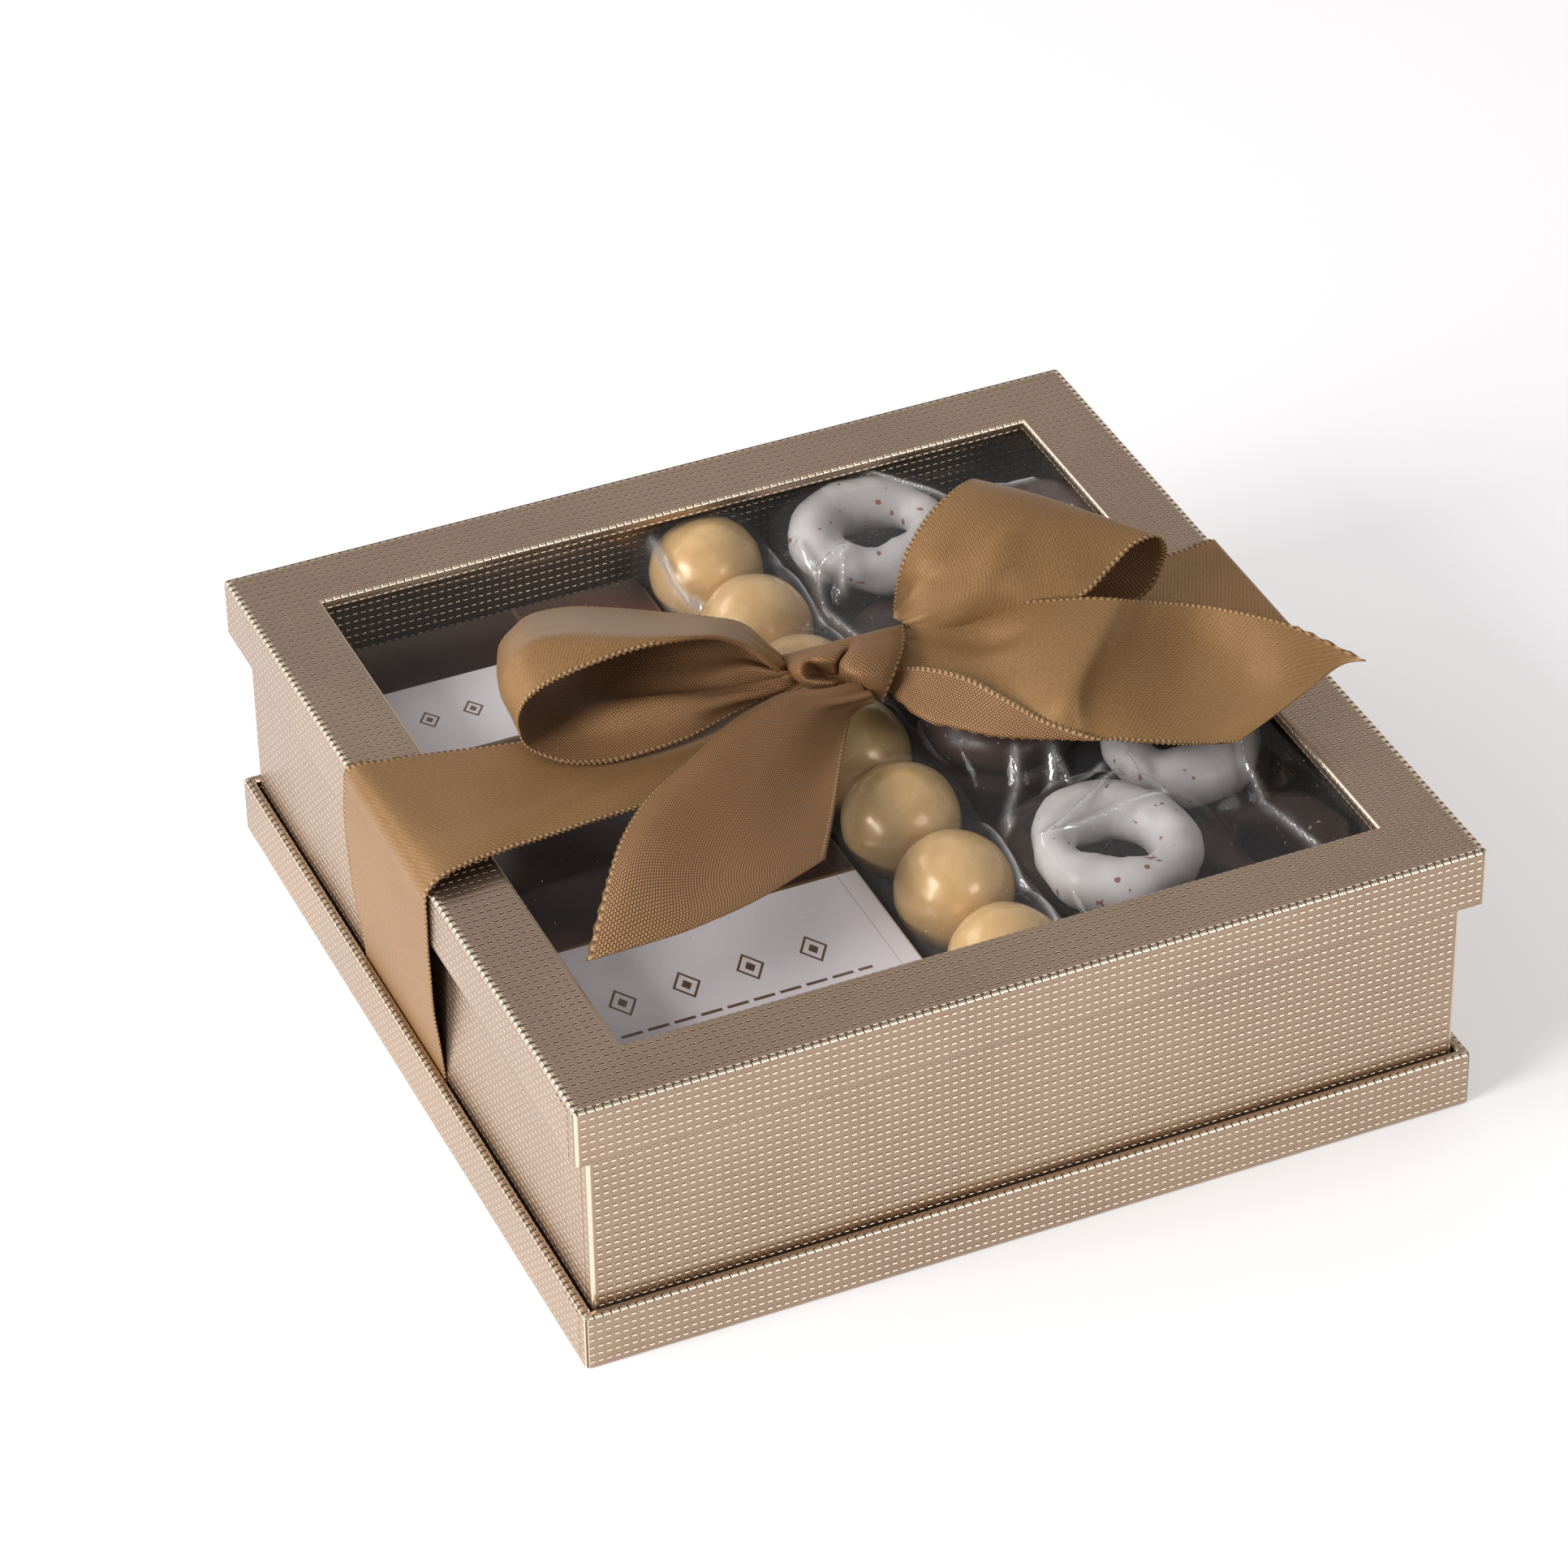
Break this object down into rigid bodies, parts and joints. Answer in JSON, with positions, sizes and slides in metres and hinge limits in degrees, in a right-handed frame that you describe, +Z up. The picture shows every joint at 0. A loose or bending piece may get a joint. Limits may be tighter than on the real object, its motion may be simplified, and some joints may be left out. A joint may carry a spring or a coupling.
{
  "type": "chocolate gift box",
  "caption": "Square embossed gift box of chocolates with a windowed lift-off lid, a tied satin ribbon bow, a wrapped bar and bagged sweets inside.",
  "frame": {"origin": "middle of the underside, on the surface that the box stands on", "axes": "+Z up; +X along the front edge to the right; +Y to the back"},
  "size_m": [0.1814, 0.18, 0.0831],
  "materials": {
    "embossed_paper": "satin",
    "plain_paper": "matte",
    "grey_board": "matte",
    "brown_card": "matte",
    "wrapper_paper": "satin",
    "foil": "satin",
    "dark_chocolate": "satin",
    "clear_film": "gloss",
    "pearl_coating": "satin",
    "white_coating": "satin",
    "dark_coating": "satin",
    "satin_ribbon": "satin"
  },
  "bodies": {
    "base": {"bottom_sheet": "plain_paper", "base_board": "grey_board", "base_wrap": "embossed_paper", "body_board": "grey_board", "body_wrap": "embossed_paper", "floor_liner": "plain_paper", "riser": "brown_card", "bar_wrapper": "wrapper_paper", "bar_foil": "foil", "bar_chocolate": "dark_chocolate", "ball_bag": "clear_film", "chocolate_balls": "pearl_coating", "ring_bag": "clear_film", "white_rings": "white_coating", "dark_rings": "dark_coating", "dark_rings_lower": "dark_coating"},
    "lid": {"lid_board": "grey_board", "lid_wrap": "embossed_paper", "window_film": "clear_film", "lid_lining": "plain_paper", "bow_knot": "satin_ribbon", "bow_loop_left": "satin_ribbon", "bow_loop_right": "satin_ribbon", "ribbon_tail_left": "satin_ribbon", "ribbon_tail_right": "satin_ribbon", "ribbon_left_run": "satin_ribbon", "ribbon_right_run": "satin_ribbon"}
  },
  "joints": [
    {"name": "lid_lift", "type": "slide", "parent": "base", "child": "lid", "axis": [0, 0, 1], "range_m": [0, 0.08]}
  ]
}
